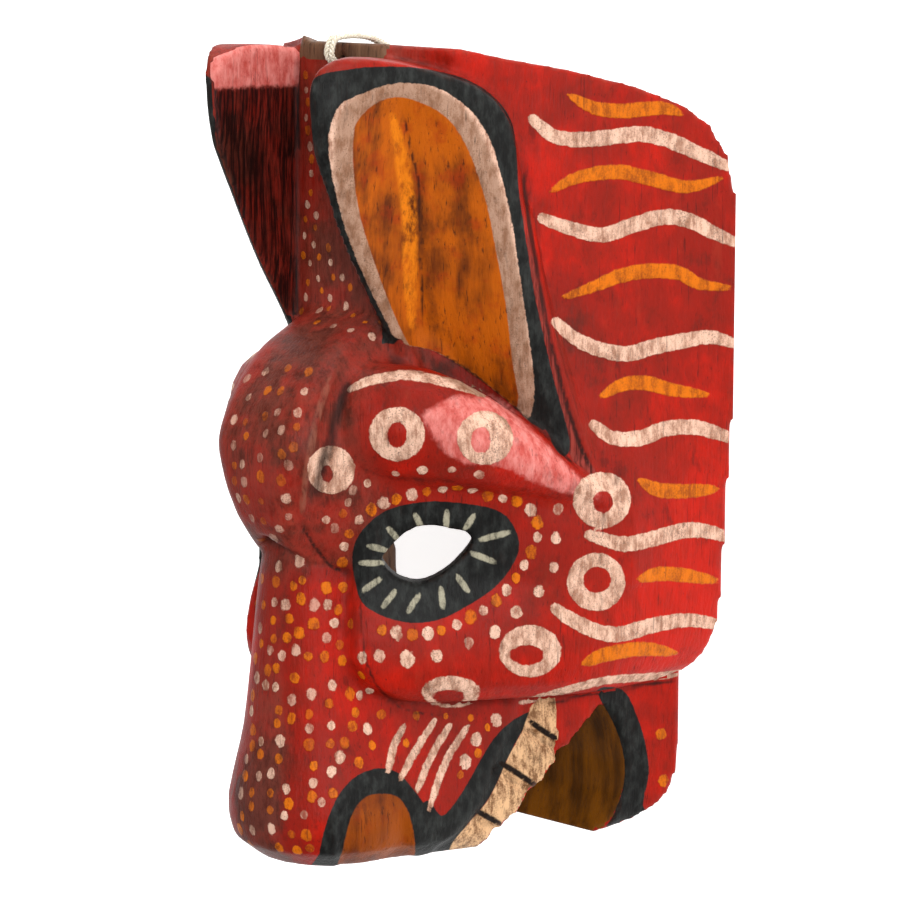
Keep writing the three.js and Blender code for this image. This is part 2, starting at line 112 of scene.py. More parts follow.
def knot_line():
    turn = np.linspace(0, 2 * math.pi, 90)
    x = np.sin(turn) + 2 * np.sin(2 * turn)
    y = np.cos(turn) - 2 * np.cos(2 * turn)
    z = -np.sin(3 * turn)
    return np.stack([x, y, z], axis=1) * np.array(KNOT_SIZE) + np.array(KNOT_CENTRE)


def hanging_cord():
    data = bpy.data.curves.new("hanging_cord", "CURVE")
    data.dimensions = "3D"
    data.bevel_depth = PLY_RADIUS * MM
    data.bevel_resolution = 1
    data.use_fill_caps = True
    for line, thick in [(line, 1.0) for line in cord_lines()] + [(knot_line(), KNOT_THICKNESS)]:
        spline = data.splines.new("POLY")
        spline.points.add(len(line) - 1)
        for point, place in zip(spline.points, line):
            point.co = (*(place * MM), 1)
            point.radius = thick
    curve = bpy.data.objects.new("cord_curve", data)
    scene.collection.objects.link(curve)
    bpy.context.view_layer.update()
    mesh = bpy.data.meshes.new_from_object(curve.evaluated_get(bpy.context.evaluated_depsgraph_get()))
    bpy.data.objects.remove(curve)
    for face in mesh.polygons:
        face.use_smooth = True
    return new_object("twisted_cord", mesh)


# Shared mesh helpers
def new_object(name, mesh):
    made = bpy.data.objects.new(name, mesh)
    scene.collection.objects.link(made)
    return made


def applied(piece):
    """The piece with its modifiers made real."""
    bpy.context.view_layer.update()
    graph = bpy.context.evaluated_depsgraph_get()
    mesh = bpy.data.meshes.new_from_object(piece.evaluated_get(graph))
    piece.modifiers.clear()
    piece.data = mesh
    return mesh


def arrays(mesh):
    places = np.empty(len(mesh.vertices) * 3)
    mesh.vertices.foreach_get("co", places)
    normals = np.empty(len(mesh.vertices) * 3)
    mesh.vertex_normals.foreach_get("vector", normals)
    return places.reshape(-1, 3), normals.reshape(-1, 3)


def mesh_edges(mesh):
    edges = np.empty(len(mesh.edges) * 2, int)
    mesh.edges.foreach_get("vertices", edges)
    return edges.reshape(-1, 2)


def neighbour_mean(values, edges, count):
    total = np.bincount(edges[:, 0], values[edges[:, 1]], count)
    total += np.bincount(edges[:, 1], values[edges[:, 0]], count)
    return total / np.maximum(np.bincount(edges.ravel(), minlength=count), 1)


def search_tree(mesh):
    shape = bmesh.new()
    shape.from_mesh(mesh)
    tree = BVHTree.FromBMesh(shape)
    shape.free()
    return tree


def open_towards(tree, places, normals, ways):
    """True where nothing stands in the way of a ray that leaves each point."""
    starts = places + normals * 0.9 * MM
    return np.array([
        tree.ray_cast(Vector(start), Vector(way))[0] is None for start, way in zip(starts, ways)
    ])


# The carving: the solid's own form with softened edges, fine outside and coarser in the hollow
VOXEL = 1.6 * MM
MOST_TRIANGLES = 196000
SOFTEN_AND_FILL = (0.5, -0.51)
SOFTEN_ROUNDS = 5
SOFTEN_LAST = (0.5, 0.5)


def carved_form():
    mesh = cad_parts["mask"].data.copy()
    shape = bmesh.new()
    shape.from_mesh(mesh)
    bmesh.ops.remove_doubles(shape, verts=shape.verts, dist=0.01 * MM)
    shape.to_mesh(mesh)
    shape.free()
    piece = new_object("carved_mask", mesh)
    remesh = piece.modifiers.new("even", "REMESH")
    remesh.mode = "VOXEL"
    remesh.voxel_size = VOXEL
    for factor in SOFTEN_AND_FILL * SOFTEN_ROUNDS + SOFTEN_LAST:
        soften = piece.modifiers.new("soften", "SMOOTH")
        soften.factor = factor
        soften.iterations = 1
    mesh = applied(piece)
    places, normals = arrays(mesh)
    behind = normals[:, 2] < 0.15
    tree = search_tree(mesh)
    index = np.flatnonzero(behind)
    free = open_towards(tree, places[index], normals[index], np.tile([0, 0, -1.0], (len(index), 1)))
    hollow = np.zeros(len(places))
    hollow[index[free]] = 1
    for _ in range(2):
        hollow = hollow * (neighbour_mean(hollow, mesh_edges(mesh), len(places)) > 0.99)
    group = piece.vertex_groups.new(name="hollow")
    group.add([int(i) for i in np.flatnonzero(hollow)], 1.0, "REPLACE")
    thin = piece.modifiers.new("thin", "DECIMATE")
    thin.ratio = MOST_TRIANGLES / (2 * len(mesh.polygons))
    thin.vertex_group = "hollow"
    applied(piece)
    piece.vertex_groups.clear()
    for face in piece.data.polygons:
        face.use_smooth = True
    return piece


FAR_EAR_RISE = 3.2
FAR_EAR_FOOT_Y = 118


def raise_far_ear(places):
    """The far ear is cut a little taller than the near one."""
    x, y, z = (places / MM).T
    share = np.clip((y - FAR_EAR_FOOT_Y) / 24, 0, 1)
    share = share * np.clip((-18 - x) / 6, 0, 1) * np.clip((z - 98) / 10, 0, 1)
    places[:, 1] += FAR_EAR_RISE * share * MM
    return places


# Painted shapes, as pixel places in the picture. They are painted on the side that faces the camera,
# and the other side of the face gets the same.
EAR_BLACK = [(309, 92), (318, 76), (345, 70), (371, 67), (410, 67), (446, 73), (476, 84), (500, 103),
             (513, 126), (517, 159), (519, 192), (527, 246), (534, 291), (543, 333), (555, 384), (570, 441),
             (564, 457), (555, 453), (545, 429), (520, 440), (470, 400), (408, 342), (392, 346), (381, 345),
             (366, 316), (344, 265), (320, 207), (309, 150)]
EAR_CREAM = [(338, 108), (352, 98), (371, 90), (391, 84), (410, 83), (430, 86), (446, 92), (470, 110),
             (488, 135), (500, 171), (512, 222), (519, 270), (527, 324), (533, 369), (534, 396), (528, 420),
             (500, 440), (440, 400), (408, 346), (393, 337), (389, 327), (365, 279), (344, 225), (331, 170),
             (329, 135)]
EAR_AMBER = [(354, 132), (357, 122), (367, 110), (380, 101), (398, 97), (419, 102), (446, 117), (467, 147),
             (485, 198), (495, 246), (506, 306), (512, 360), (517, 408), (480, 420), (440, 390), (408, 343),
             (392, 309), (377, 270), (360, 216), (353, 165)]
# Painted highlight: a bright amber strip on the lit side of the crease in the ear
EAR_CREASE_HIGHLIGHT = [(392, 116), (402, 160), (409, 215), (410, 275), (412, 325)]
EAR_EDGE = [(519, 192), (526, 225), (530, 240), (539, 288), (551, 345), (566, 405), (578, 441), (600, 480),
            (585, 476), (570, 455), (555, 384), (543, 333), (534, 291), (527, 246)]
# Pale pink worn paint and painted highlight on the top of the brow wing
WING_PINK_HIGHLIGHT = [(423, 417), (434, 408), (446, 400), (459, 396), (480, 398), (497, 397), (518, 417), (548, 446),
             (575, 474), (600, 496), (583, 496), (556, 490), (530, 480), (500, 465), (470, 464), (452, 456),
             (438, 444)]
EYE_BLACK = [(352, 556), (360, 533), (385, 511), (422, 502), (462, 503), (499, 511), (515, 529), (519, 550),
             (507, 574), (489, 592), (462, 609), (438, 620), (411, 623), (385, 617), (362, 603), (355, 580)]
LIP_BLACK = [(535, 709), (513, 720), (496, 736), (484, 754), (470, 779), (455, 803), (441, 816), (427, 800),
             (414, 835), (418, 866), (449, 852), (468, 824), (486, 803), (498, 781), (507, 760), (523, 730),
             (540, 708)]
NOSTRIL_BLACK = [(317, 870), (319, 854), (327, 821), (340, 793), (358, 775), (380, 768), (398, 773),
                 (414, 790), (430, 812), (445, 830), (440, 862), (410, 875)]
NOSTRIL_AMBER = [(342, 868), (343, 850), (348, 827), (356, 807), (370, 795), (394, 795), (406, 807),
                 (412, 825), (415, 852), (404, 862)]
TEETH = [(540, 698), (523, 730), (507, 760), (498, 781), (486, 803), (468, 824), (449, 850), (470, 856),
         (490, 848), (508, 828), (526, 803), (542, 784), (566, 747), (588, 725), (606, 700)]
JAW_BLACK = [(597, 690), (613, 722), (623, 752), (624, 783), (613, 816), (600, 840), (650, 832), (643, 805),
             (649, 773), (645, 742), (637, 716), (623, 690)]
WING_COVER = [(380, 345), (392, 344), (424, 348), (445, 356), (470, 372), (497, 392), (520, 412),
              (531, 423), (545, 432), (556, 450), (566, 458), (590, 474), (600, 500), (540, 500),
              (440, 470), (360, 420), (350, 360)]
STRIPES_CREAM = [
    [(533, 119), (556, 137), (595, 139), (639, 134), (671, 141), (700, 154), (727, 166)],
    [(542, 218), (566, 227), (602, 235), (633, 225), (664, 217), (690, 221), (710, 231), (734, 242)],
    [(556, 322), (576, 339), (599, 349), (627, 354), (654, 347), (682, 341), (710, 337), (733, 343)],
    [(594, 425), (613, 438), (641, 438), (664, 429), (691, 427), (710, 431), (730, 438)],
    [(589, 535), (609, 541), (629, 544), (659, 537), (687, 530), (710, 532), (728, 537)],
    [(555, 608), (572, 620), (599, 632), (622, 634), (650, 626), (687, 620), (721, 625)],
]
STRIPES_OCHRE = [
    [(569, 95), (595, 108), (623, 111), (662, 108), (682, 114)],
    [(551, 191), (579, 177), (618, 172), (652, 179), (687, 187), (722, 178)],
    [(562, 298), (595, 286), (623, 275), (652, 271), (679, 273), (700, 284), (731, 288)],
    [(600, 397), (622, 385), (645, 383), (673, 390), (708, 395)],
    [(639, 480), (659, 490), (687, 491), (718, 489)],
    [(638, 580), (659, 574), (682, 575), (718, 581)],
    [(583, 664), (604, 655), (641, 649), (676, 653)],
]
BOTTOM_CREAM = [(520, 703), (549, 695), (582, 686), (610, 680), (668, 675), (697, 668)]
# Columns of dots down the snout, the brow boss and the forehead
SNOUT_COLUMNS = [
    [(262, 575), (259, 640), (252, 700), (247, 760), (238, 800), (240, 830)],
    [(279, 567), (272, 625), (262, 683), (259, 735), (254, 790), (254, 845)],
    [(293, 584), (281, 650), (278, 700), (276, 745), (270, 800), (278, 848)],
    [(301, 561), (299, 610), (293, 661), (289, 715), (286, 767), (288, 820), (296, 853)],
    [(308, 572), (311, 622), (307, 667), (309, 715), (311, 770), (306, 812), (310, 850)],
    [(323, 584), (326, 640), (332, 696), (331, 748), (334, 790), (322, 803)],
    [(337, 592), (335, 628), (341, 671), (350, 712), (342, 757)],
    [(346, 587), (353, 643), (364, 679), (353, 727), (357, 765)],
    [(366, 690), (383, 704), (368, 728), (374, 748)],
]
BOSS_COLUMNS = [
    [(232, 400), (230, 450), (241, 500), (258, 540)],
    [(248, 378), (243, 420), (244, 470), (254, 510), (270, 538)],
    [(266, 372), (264, 420), (262, 470), (266, 517), (282, 530)],
    [(285, 366), (280, 412), (277, 450), (283, 497), (292, 520)],
    [(308, 368), (301, 412), (291, 455), (290, 490)],
    [(330, 512), (341, 548), (350, 560)],
    [(352, 490), (341, 505), (334, 535)],
]
FOREHEAD_COLUMNS = [
    [(306, 72), (308, 190), (306, 312)],
    [(314, 215), (318, 262), (317, 322)],
    [(326, 248), (332, 290), (332, 326)],
    [(345, 275), (349, 300), (352, 330)],
    [(363, 322), (372, 338)],
]
BROW_ARC = [(349, 390), (363, 383), (382, 378), (410, 375), (446, 382), (470, 389), (484, 395)]
WHISKERS = [
    [(404, 726), (394, 746), (388, 772)],
    [(435, 720), (416, 750), (400, 780)],
    [(450, 725), (432, 755), (417, 791)],
    [(468, 726), (446, 761), (429, 810)],
]
# Cuts between the teeth
TOOTH_CUTS = [
    [(531, 722), (548, 734), (569, 746)],
    [(501, 763), (517, 773), (535, 785)],
    [(477, 811), (488, 817), (500, 824)],
]
# Widths of the brush strokes in the picture
STRIPE_CREAM_WIDTH = 15.5
STRIPE_OCHRE_WIDTH = 14.5
BOTTOM_CREAM_WIDTH = 8
BROW_ARC_WIDTH = 10
WHISKER_WIDTH = 7.5
EYE_STROKE_WIDTH = 6.2
EAR_CREASE_HIGHLIGHT_WIDTH = 15
TOOTH_CUT_WIDTH = 6
# Lines left by the knife: the line, its width in the picture, how far it stands out in millimetres,
# and the painted shade along it, less than zero for a painted highlight on a ridge where the paint is worn
# off
KNIFE_LINES = [
    # Painted shade in the crease of the ear, in the groove between the ear and the side, and along the ear's
    # edge
    ([(401, 103), (409, 140), (417, 175), (420, 200), (421, 270), (423, 345)], 5, -0.4, 0.75),
    ([(519, 140), (529, 215), (543, 300), (558, 370), (578, 440), (598, 480)], 7, -0.5, 0.8),
    ([(511, 105), (524, 150), (533, 205), (548, 290), (566, 370), (588, 440)], 5, -0.3, 0.5),
    # Painted highlight on the ridges of the boss, where the paint is also worn, and painted shade in the
    # valley beside the ridge
    ([(340, 364), (323, 396), (312, 440), (305, 480), (301, 520)], 9, 1.3, -0.85),
    ([(352, 374), (341, 400), (331, 440), (321, 475), (313, 512)], 19, -1.0, 0.66),
    ([(236, 405), (237, 430), (236, 455)], 9, 0.6, -0.6),
    # Painted shade along the edges of the boss, the cheek plate and the brow wing, and under the ear and the
    # cheek plate
    ([(300, 520), (314, 546), (332, 567), (354, 574)], 6, -0.6, 0.75),
    ([(358, 575), (361, 620), (366, 660), (378, 688), (400, 707), (430, 714), (480, 710)], 6, -0.4, 0.62),
    ([(424, 348), (445, 356), (470, 372), (497, 392), (520, 412), (545, 432), (566, 456), (592, 480)],
     6, -0.4, 0.7),
    ([(303, 330), (330, 333), (362, 341), (386, 347)], 16, -0.2, 0.34),
    ([(540, 706), (590, 694), (640, 686), (685, 678)], 7, 0, 0.7),
    ([(352, 466), (390, 478), (440, 481), (490, 490)], 11, -0.2, 0.42),
]
# Rings: outer centre and radii, then inner centre and radii
RINGS = [
    ((397, 434), (28, 27), (397, 435), (10, 13)),
    ((485, 438), (28, 27), (481, 440), (10, 13)),
    ((331, 470), (24, 24), (327, 474), (6, 9)),
    ((602, 500), (29, 28), (603, 502), (10, 11)),
    ((596, 582), (29, 29), (597, 580), (14, 13)),
    ((530, 651), (31, 26), (527, 655), (17, 10)),
    ((451, 692), (29, 16), (449, 697), (16, 7)),
]
# Strokes round the eye, each from the hole outwards
EYE_STROKES = [
    [(422, 529), (415, 514)], [(446, 529), (447, 511)], [(465, 529), (474, 515)], [(480, 540), (510, 532)],
    [(471, 553), (495, 562)], [(457, 576), (468, 591)], [(441, 588), (443, 608)], [(419, 595), (408, 612)],
    [(395, 591), (383, 607)], [(381, 578), (363, 591)], [(383, 563), (360, 563)], [(386, 550), (368, 546)],
    [(398, 539), (388, 528)],
]
# Rows of dots round the eye: the line, the space between dots, the radius and the paints in turn
EYE_DOTS = [
    ([(343, 562), (345, 544), (353, 527), (369, 511), (394, 500), (426, 492), (462, 488), (496, 497),
      (524, 504), (537, 521), (537, 537), (530, 552), (516, 579), (496, 601), (470, 617), (446, 629),
      (415, 635), (382, 630)],
     15.5, 5.4, ("ochre", "cream")),
    ([(327, 520), (347, 505), (360, 488), (387, 476), (413, 472), (445, 469), (480, 475)],
     28, 4.6, ("cream",)),
    ([(557, 509), (557, 536), (555, 563), (537, 592), (517, 612), (491, 634), (468, 643)],
     27.5, 5.2, ("cream",)),
    ([(437, 656), (407, 659), (380, 656)], 28, 6.6, ("cream",)),
    ([(497, 720), (475, 741), (464, 763)], 24, 6.0, ("cream",)),
    ([(488, 727), (478, 751), (459, 775)], 24, 3.6, ("ochre",)),
    ([(407, 743), (440, 756), (424, 762)], 18, 3.2, ("ochre",)),
    ([(416, 716), (446, 716), (472, 718)], 28, 3.4, ("ochre",)),
    ([(662, 734), (663, 781)], 46, 5.0, ("ochre",)),
]


def smooth_line(points, closed=False, fine=4):
    """A smooth line through a few points, with more of them."""
    given = np.array(points, float)
    count = len(given)
    made = []
    for i in range(count if closed else count - 1):
        if closed:
            a, b, c, d = (given[(i + k) % count] for k in (-1, 0, 1, 2))
        else:
            a, b, c, d = (given[min(max(i + k, 0), count - 1)] for k in (-1, 0, 1, 2))
        for t in np.arange(fine) / fine:
            made.append(0.5 * (2 * b + (c - a) * t + (2 * a - 5 * b + 4 * c - d) * t * t
                               + (3 * b - a - 3 * c + d) * t ** 3))
    if not closed:
        made.append(given[-1])
    return np.array(made)


def picture_places(places):
    away = places - np.array(TARGET)
    depth = DISTANCE - away @ np.array(VIEW_BACK)
    across = PICTURE / 2 + PIXEL_FOCUS * (away @ np.array(VIEW_RIGHT)) / depth
    down = PICTURE / 2 - PIXEL_FOCUS * (away @ np.array(VIEW_UP)) / depth
    return across, down


def from_line(line, across, down, closed=False):
    """Pixels from each place to a line, and the share of the line passed there."""
    nearest = np.full(across.shape, 1e6)
    share = np.zeros(across.shape)
    ends = np.roll(line, -1, axis=0) if closed else line[1:]
    for i, (a, b) in enumerate(zip(line, ends)):
        step = b - a
        t = np.clip(((across - a[0]) * step[0] + (down - a[1]) * step[1]) / (step @ step), 0, 1)
        gap = np.hypot(across - a[0] - t * step[0], down - a[1] - t * step[1])
        closer = gap < nearest
        nearest = np.where(closer, gap, nearest)
        share = np.where(closer, (i + t) / len(ends), share)
    return nearest, share


def within(outline, across, down):
    """Pixels outside a closed outline, less than zero inside it."""
    line = smooth_line(outline, closed=True, fine=3)
    inside = np.zeros(across.shape, bool)
    for a, b in zip(line, np.roll(line, -1, axis=0)):
        crosses = (a[1] > down) != (b[1] > down)
        rise = b[1] - a[1] if b[1] != a[1] else 1e-9
        inside ^= crosses & (across < a[0] + (b[0] - a[0]) * (down - a[1]) / rise)
    gap = from_line(line, across, down, closed=True)[0]
    return np.where(inside, -gap, gap)


def stroke(points, width, across, down, taper=0.35):
    """Pixels outside a brush stroke that is thinner at its ends."""
    gap, share = from_line(smooth_line(points), across, down)
    half = width / 2 * (1 - taper * np.abs(2 * share - 1) ** 3)
    return gap - half


def ring(outer, outer_size, inner, inner_size, across, down):
    def oval(centre, size):
        reach = np.hypot((across - centre[0]) / size[0], (down - centre[1]) / size[1])
        return (reach - 1) * min(size)
    return np.maximum(oval(outer, outer_size), -oval(inner, inner_size))


def knife_marks(places, normals, tree):
    """The depth of the knife lines at every point, in millimetres, and the painted shade that lies in them,
    less than zero for a painted highlight.
    """
    near, out = sides(places, normals)
    seen = in_view(near, out, tree)
    across, down = picture_places(near)
    depth = np.zeros(len(places))
    shade_and_highlight = np.zeros(len(places))
    chosen = np.flatnonzero(seen)
    for points, width, rise, dark in KNIFE_LINES:
        gap, share = from_line(smooth_line(points), across[chosen], down[chosen])
        fade = np.clip(np.minimum(share, 1 - share) * 8, 0, 1)
        fall = np.exp(-(gap / (width * 0.45)) ** 2) * fade
        depth[chosen] += rise * fall
        shade_and_highlight[chosen] = np.where(np.abs(dark * fall) > np.abs(shade_and_highlight[chosen]), dark * fall, shade_and_highlight[chosen])
    return depth, shade_and_highlight


# Paint maps: each is a distance in millimetres from the edge of that paint, less than zero where it is
FAR = 9.0
PAINTS = (
    "pink_and_highlight", "edge", "black", "cream", "amber", "crease_highlight", "ochre", "tick", "tooth", "cut", "mouth", "bare",
)


def sides(places, normals):
    """Every point and its way out, brought to the side that faces the camera."""
    side = np.where(places[:, 0] < 0, -1.0, 1.0)
    turn = np.stack([side, np.ones_like(side), np.ones_like(side)], axis=1)
    return places * turn, normals * turn


def in_view(near, out, tree):
    """Points that nothing hides from the camera."""
    to_eye = np.array(EYE_POINT) - near
    to_eye /= np.linalg.norm(to_eye, axis=1)[:, None]
    seen = np.einsum("ij,ij->i", out, to_eye) > 0.02
    index = np.flatnonzero(seen)
    seen[index] = open_towards(tree, near[index], out[index], to_eye[index])
    return seen


def open_behind(places, normals, tree):
    """Points in the hollow and on the back rim, under the face and open to the back."""
    index = np.flatnonzero(normals[:, 2] < 0.2)
    back = np.tile([0, 0, -1.0], (len(index), 1))
    inside = open_towards(tree, places[index], normals[index], back)
    inside &= ~open_towards(tree, places[index], normals[index], -back)
    behind = np.zeros(len(places), bool)
    behind[index] = inside
    return behind


def paint_maps(places, normals, tree):
    near, out = sides(places, normals)
    seen = in_view(near, out, tree)
    across, down = picture_places(near)
    x, y, z = (near / MM).T
    nx, ny = out.T[:2]
    maps = {name: np.full(len(places), FAR) for name in PAINTS}

    def paint(name, where, reach):
        chosen = np.flatnonzero(where)
        gap = reach(across[chosen], down[chosen]) * PIXEL_MM
        maps[name][chosen] = np.minimum(maps[name][chosen], gap)

    ear = seen & (x > 24) & (y > -20)
    face = seen & (x > 14)
    side = seen & (x > 30)
    muzzle = seen & (y < -80) & (z > 50)
    jaw = seen & (y < -85) & (z < 52)

    def off_wing(outline):
        return lambda a, d: np.maximum(within(outline, a, d), -within(WING_COVER, a, d))

    paint("black", ear, off_wing(EAR_BLACK))
    paint("cream", ear, off_wing(EAR_CREAM))
    paint("amber", ear, off_wing(EAR_AMBER))
    # Painted highlight beside the crease in the ear
    paint("crease_highlight", ear, lambda a, d: stroke(EAR_CREASE_HIGHLIGHT, EAR_CREASE_HIGHLIGHT_WIDTH, a, d, 0.6))
    paint("edge", ear, off_wing(EAR_EDGE))
    # Pink worn paint and painted highlight on the brow wing
    paint("pink_and_highlight", face, lambda a, d: within(WING_PINK_HIGHLIGHT, a, d))
    paint("black", face & (y < 0), lambda a, d: within(EYE_BLACK, a, d))
    paint("black", muzzle, lambda a, d: within(LIP_BLACK, a, d))
    paint("black", muzzle, lambda a, d: within(NOSTRIL_BLACK, a, d))
    paint("amber", muzzle, lambda a, d: within(NOSTRIL_AMBER, a, d))
    paint("tooth", muzzle, lambda a, d: within(TEETH, a, d))
    for line in TOOTH_CUTS:
        paint("cut", muzzle, lambda a, d: stroke(line, TOOTH_CUT_WIDTH, a, d, 0.2))
    paint("black", jaw, lambda a, d: within(JAW_BLACK, a, d))
    for line in STRIPES_CREAM:
        paint("cream", side, lambda a, d: stroke(line, STRIPE_CREAM_WIDTH, a, d))
    for line in STRIPES_OCHRE:
        paint("ochre", side, lambda a, d: stroke(line, STRIPE_OCHRE_WIDTH, a, d, 0.75))
    paint("cream", side, lambda a, d: stroke(BOTTOM_CREAM, BOTTOM_CREAM_WIDTH, a, d, 0.5))
    paint("cream", face, lambda a, d: stroke(BROW_ARC, BROW_ARC_WIDTH, a, d, 0.5))
    for line in WHISKERS:
        paint("cream", muzzle, lambda a, d: stroke(line, WHISKER_WIDTH, a, d, 0.4))
    for line in EYE_STROKES:
        paint("tick", face & (y < 0), lambda a, d: stroke(line, EYE_STROKE_WIDTH, a, d, 0.3))
    for shape in RINGS:
        paint("cream", face, lambda a, d: ring(*shape, a, d))

    # Places that the picture's shapes don't reach
    behind = open_behind(places, normals, tree)
    by_eye = (x > 26) & (x < 68) & (y > -48) & (y < -10) & (z > 86)
    eye_wall = behind & by_eye & (np.abs(out @ np.array(VIEW_BACK)) < 0.4)
    behind &= ~eye_wall
    maps["black"][eye_wall] = -FAR
    shell = (y > 144.5) & (x < 23) & (z > 84)
    maps["bare"][behind | shell] = -FAR
    in_mouth = (np.abs(nx) < 0.42) & (y < -94) & (z > 18) & (z < 92)
    in_mouth &= ~((z < 60) & (ny < -0.75)) & ~muzzle
    maps["mouth"][in_mouth] = -FAR
    for name in ("black", "cream", "amber"):
        maps[name][behind] = FAR
    # Painted shadow on the inner faces of the ears, with pink paint and painted light on their tops
    shaded_inner_ear = (x < 31) & (nx < -0.5) & (y > 30) & (z > 108)
    maps["pink_and_highlight"][shaded_inner_ear] = np.clip(134 - y[shaded_inner_ear], -FAR, FAR)
    maps["shaded_inner_ear"] = np.where(shaded_inner_ear, 1.0, 0.0)
    return maps


def brightness(places):
    """How bright the red is: bright on the sides and the cheeks, darker brown on the boss and forehead."""
    x, y, z = (places / MM).T
    aside = np.clip((np.abs(x) - 27) / 22, 0, 1)
    snout = np.clip((-36 - y) / 12, 0, 1) * np.clip((np.abs(x) - 2) / 14, 0.25, 1)
    low = np.clip((-72 - y) / 34, 0, 1) * np.clip((z - 60) / 20, 0, 1)
    front = 0.22 * np.clip((np.abs(x) - 8) / 10, 0, 1)
    return np.clip(np.maximum(np.maximum(aside, snout * 1.3) - 0.6 * low, front), 0, 1.3)


def surface_maps(mesh, places, normals, tree):
    """How deep each point lies between its surroundings, which is painted as shade in the hollows, and how
    sharply it stands out of them.
    """
    edges = mesh_edges(mesh)
    count = len(places)
    mean = np.stack([neighbour_mean(places[:, k], edges, count) for k in range(3)], axis=1)
    bulge = np.einsum("ij,ij->i", places - mean, normals) / MM
    for _ in range(2):
        bulge = neighbour_mean(bulge, edges, count)
    # Painted shade: the share of short rays that meet the carving close by darkens the hollows
    rays = 9
    reach = 26 * MM
    helper = np.where(np.abs(normals[:, :1]) < 0.8, [[1.0, 0, 0]], [[0, 1.0, 0]])
    flat_a = np.cross(normals, helper)
    flat_a /= np.linalg.norm(flat_a, axis=1)[:, None]
    flat_b = np.cross(normals, flat_a)
    shut_in_shade = np.zeros(count)
    for k in range(rays):
        lean = math.radians(25 + 45 * (k % 3) / 2)
        spin = 2 * math.pi * k / rays
        aside = flat_a * math.cos(spin) + flat_b * math.sin(spin)
        ways = normals * math.cos(lean) + aside * math.sin(lean)
        starts = places + normals * 0.6 * MM
        for i, (start, way) in enumerate(zip(starts, ways)):
            hit = tree.ray_cast(Vector(start), Vector(way), reach)
            if hit[0] is not None:
                shut_in_shade[i] += 1 - hit[3] / reach * 0.6
    shut_in_shade /= rays
    for _ in range(3):
        shut_in_shade = neighbour_mean(shut_in_shade, edges, count)
    return shut_in_shade, bulge


# Dots of paint, laid in rows by hand: each row is its line, the space between dots, their radius,
# the paints in turn and the strength of the paint
DICE = random.Random(7)
DOT_ROWS = [row + (0.95,) for row in EYE_DOTS]
SNOUT_DOTS = (17.5, 4.9, ("cream", "ochre", "cream", "ochre", "ochre"), 0.85)
BOSS_DOTS = (21, 4.5, ("cream", "ochre", "ochre", "cream"), 0.5)
FOREHEAD_DOTS = (15, 3.5, ("cream", "ochre"), 0.6)
for columns, dots_of_column in (
    (SNOUT_COLUMNS, SNOUT_DOTS), (BOSS_COLUMNS, BOSS_DOTS), (FOREHEAD_COLUMNS, FOREHEAD_DOTS),
):
    DOT_ROWS += [(points, *dots_of_column) for points in columns]
DOT_GAP = 2.5
LOOSE_BY_EYE = 1.3
LOOSE_ELSEWHERE = 4.2
BAR_GAP = 3.5
DOT_BARS = [EYE_BLACK, NOSTRIL_BLACK, LIP_BLACK, TEETH]


def barred(across, down):
    """True where a dot would run into another painted shape."""
    across = np.array([across])
    down = np.array([down])
    gaps = [within(outline, across, down)[0] for outline in DOT_BARS]
    gaps += [stroke(line, 8, across, down)[0] for line in WHISKERS + [BROW_ARC]]
    gaps += [ring(*shape, across, down)[0] for shape in RINGS]
    return min(gaps) < BAR_GAP


def in_plain_sight(tree, place):
    way = (EYE_POINT - place).normalized()
    return tree.ray_cast(place + way * 1.5 * MM, way)[0] is None


def painted_dots(tree):
    """The dots that the camera sees, and their twins on the other side of the face."""
    made = []
    for row, (points, space, radius, paints, strength) in enumerate(DOT_ROWS):
        line = smooth_line(points, fine=10)
        steps = np.hypot(*np.diff(line, axis=0).T)
        along = np.concatenate([[0], np.cumsum(steps)])
        count = max(1, round(along[-1] / space))
        loose = LOOSE_BY_EYE if row < len(EYE_DOTS) else LOOSE_ELSEWHERE
        for k in range(count + 1):
            at = along[-1] * k / count + DICE.uniform(-loose, loose)
            across = np.interp(at, along, line[:, 0]) + DICE.uniform(-loose, loose)
            down = np.interp(at, along, line[:, 1])
            size = radius * PIXEL_MM * DICE.uniform(0.78, 1.12) * MM
            paint = paints[(k + row) % len(paints)]
            if barred(across, down):
                continue
            aside = VIEW_RIGHT * (across - PICTURE / 2) - VIEW_UP * (down - PICTURE / 2)
            place = tree.ray_cast(EYE_POINT, aside / PIXEL_FOCUS - VIEW_BACK)[0]
            room = DOT_GAP * size if row else 0
            if place is None or any((place - other[0]).length < room for other in made):
                continue
            made.append((place, size, paint, min(1, strength * DICE.uniform(0.55, 1.25))))
    twins = []
    for place, size, paint, strength in made:
        twin = Vector((-place.x, place.y, place.z))
        clear = all((twin - other[0]).length > size + other[1] + MM for other in made)
        if clear and not in_plain_sight(tree, twin):
            twins.append((twin, size, paint, strength))
    return made + twins


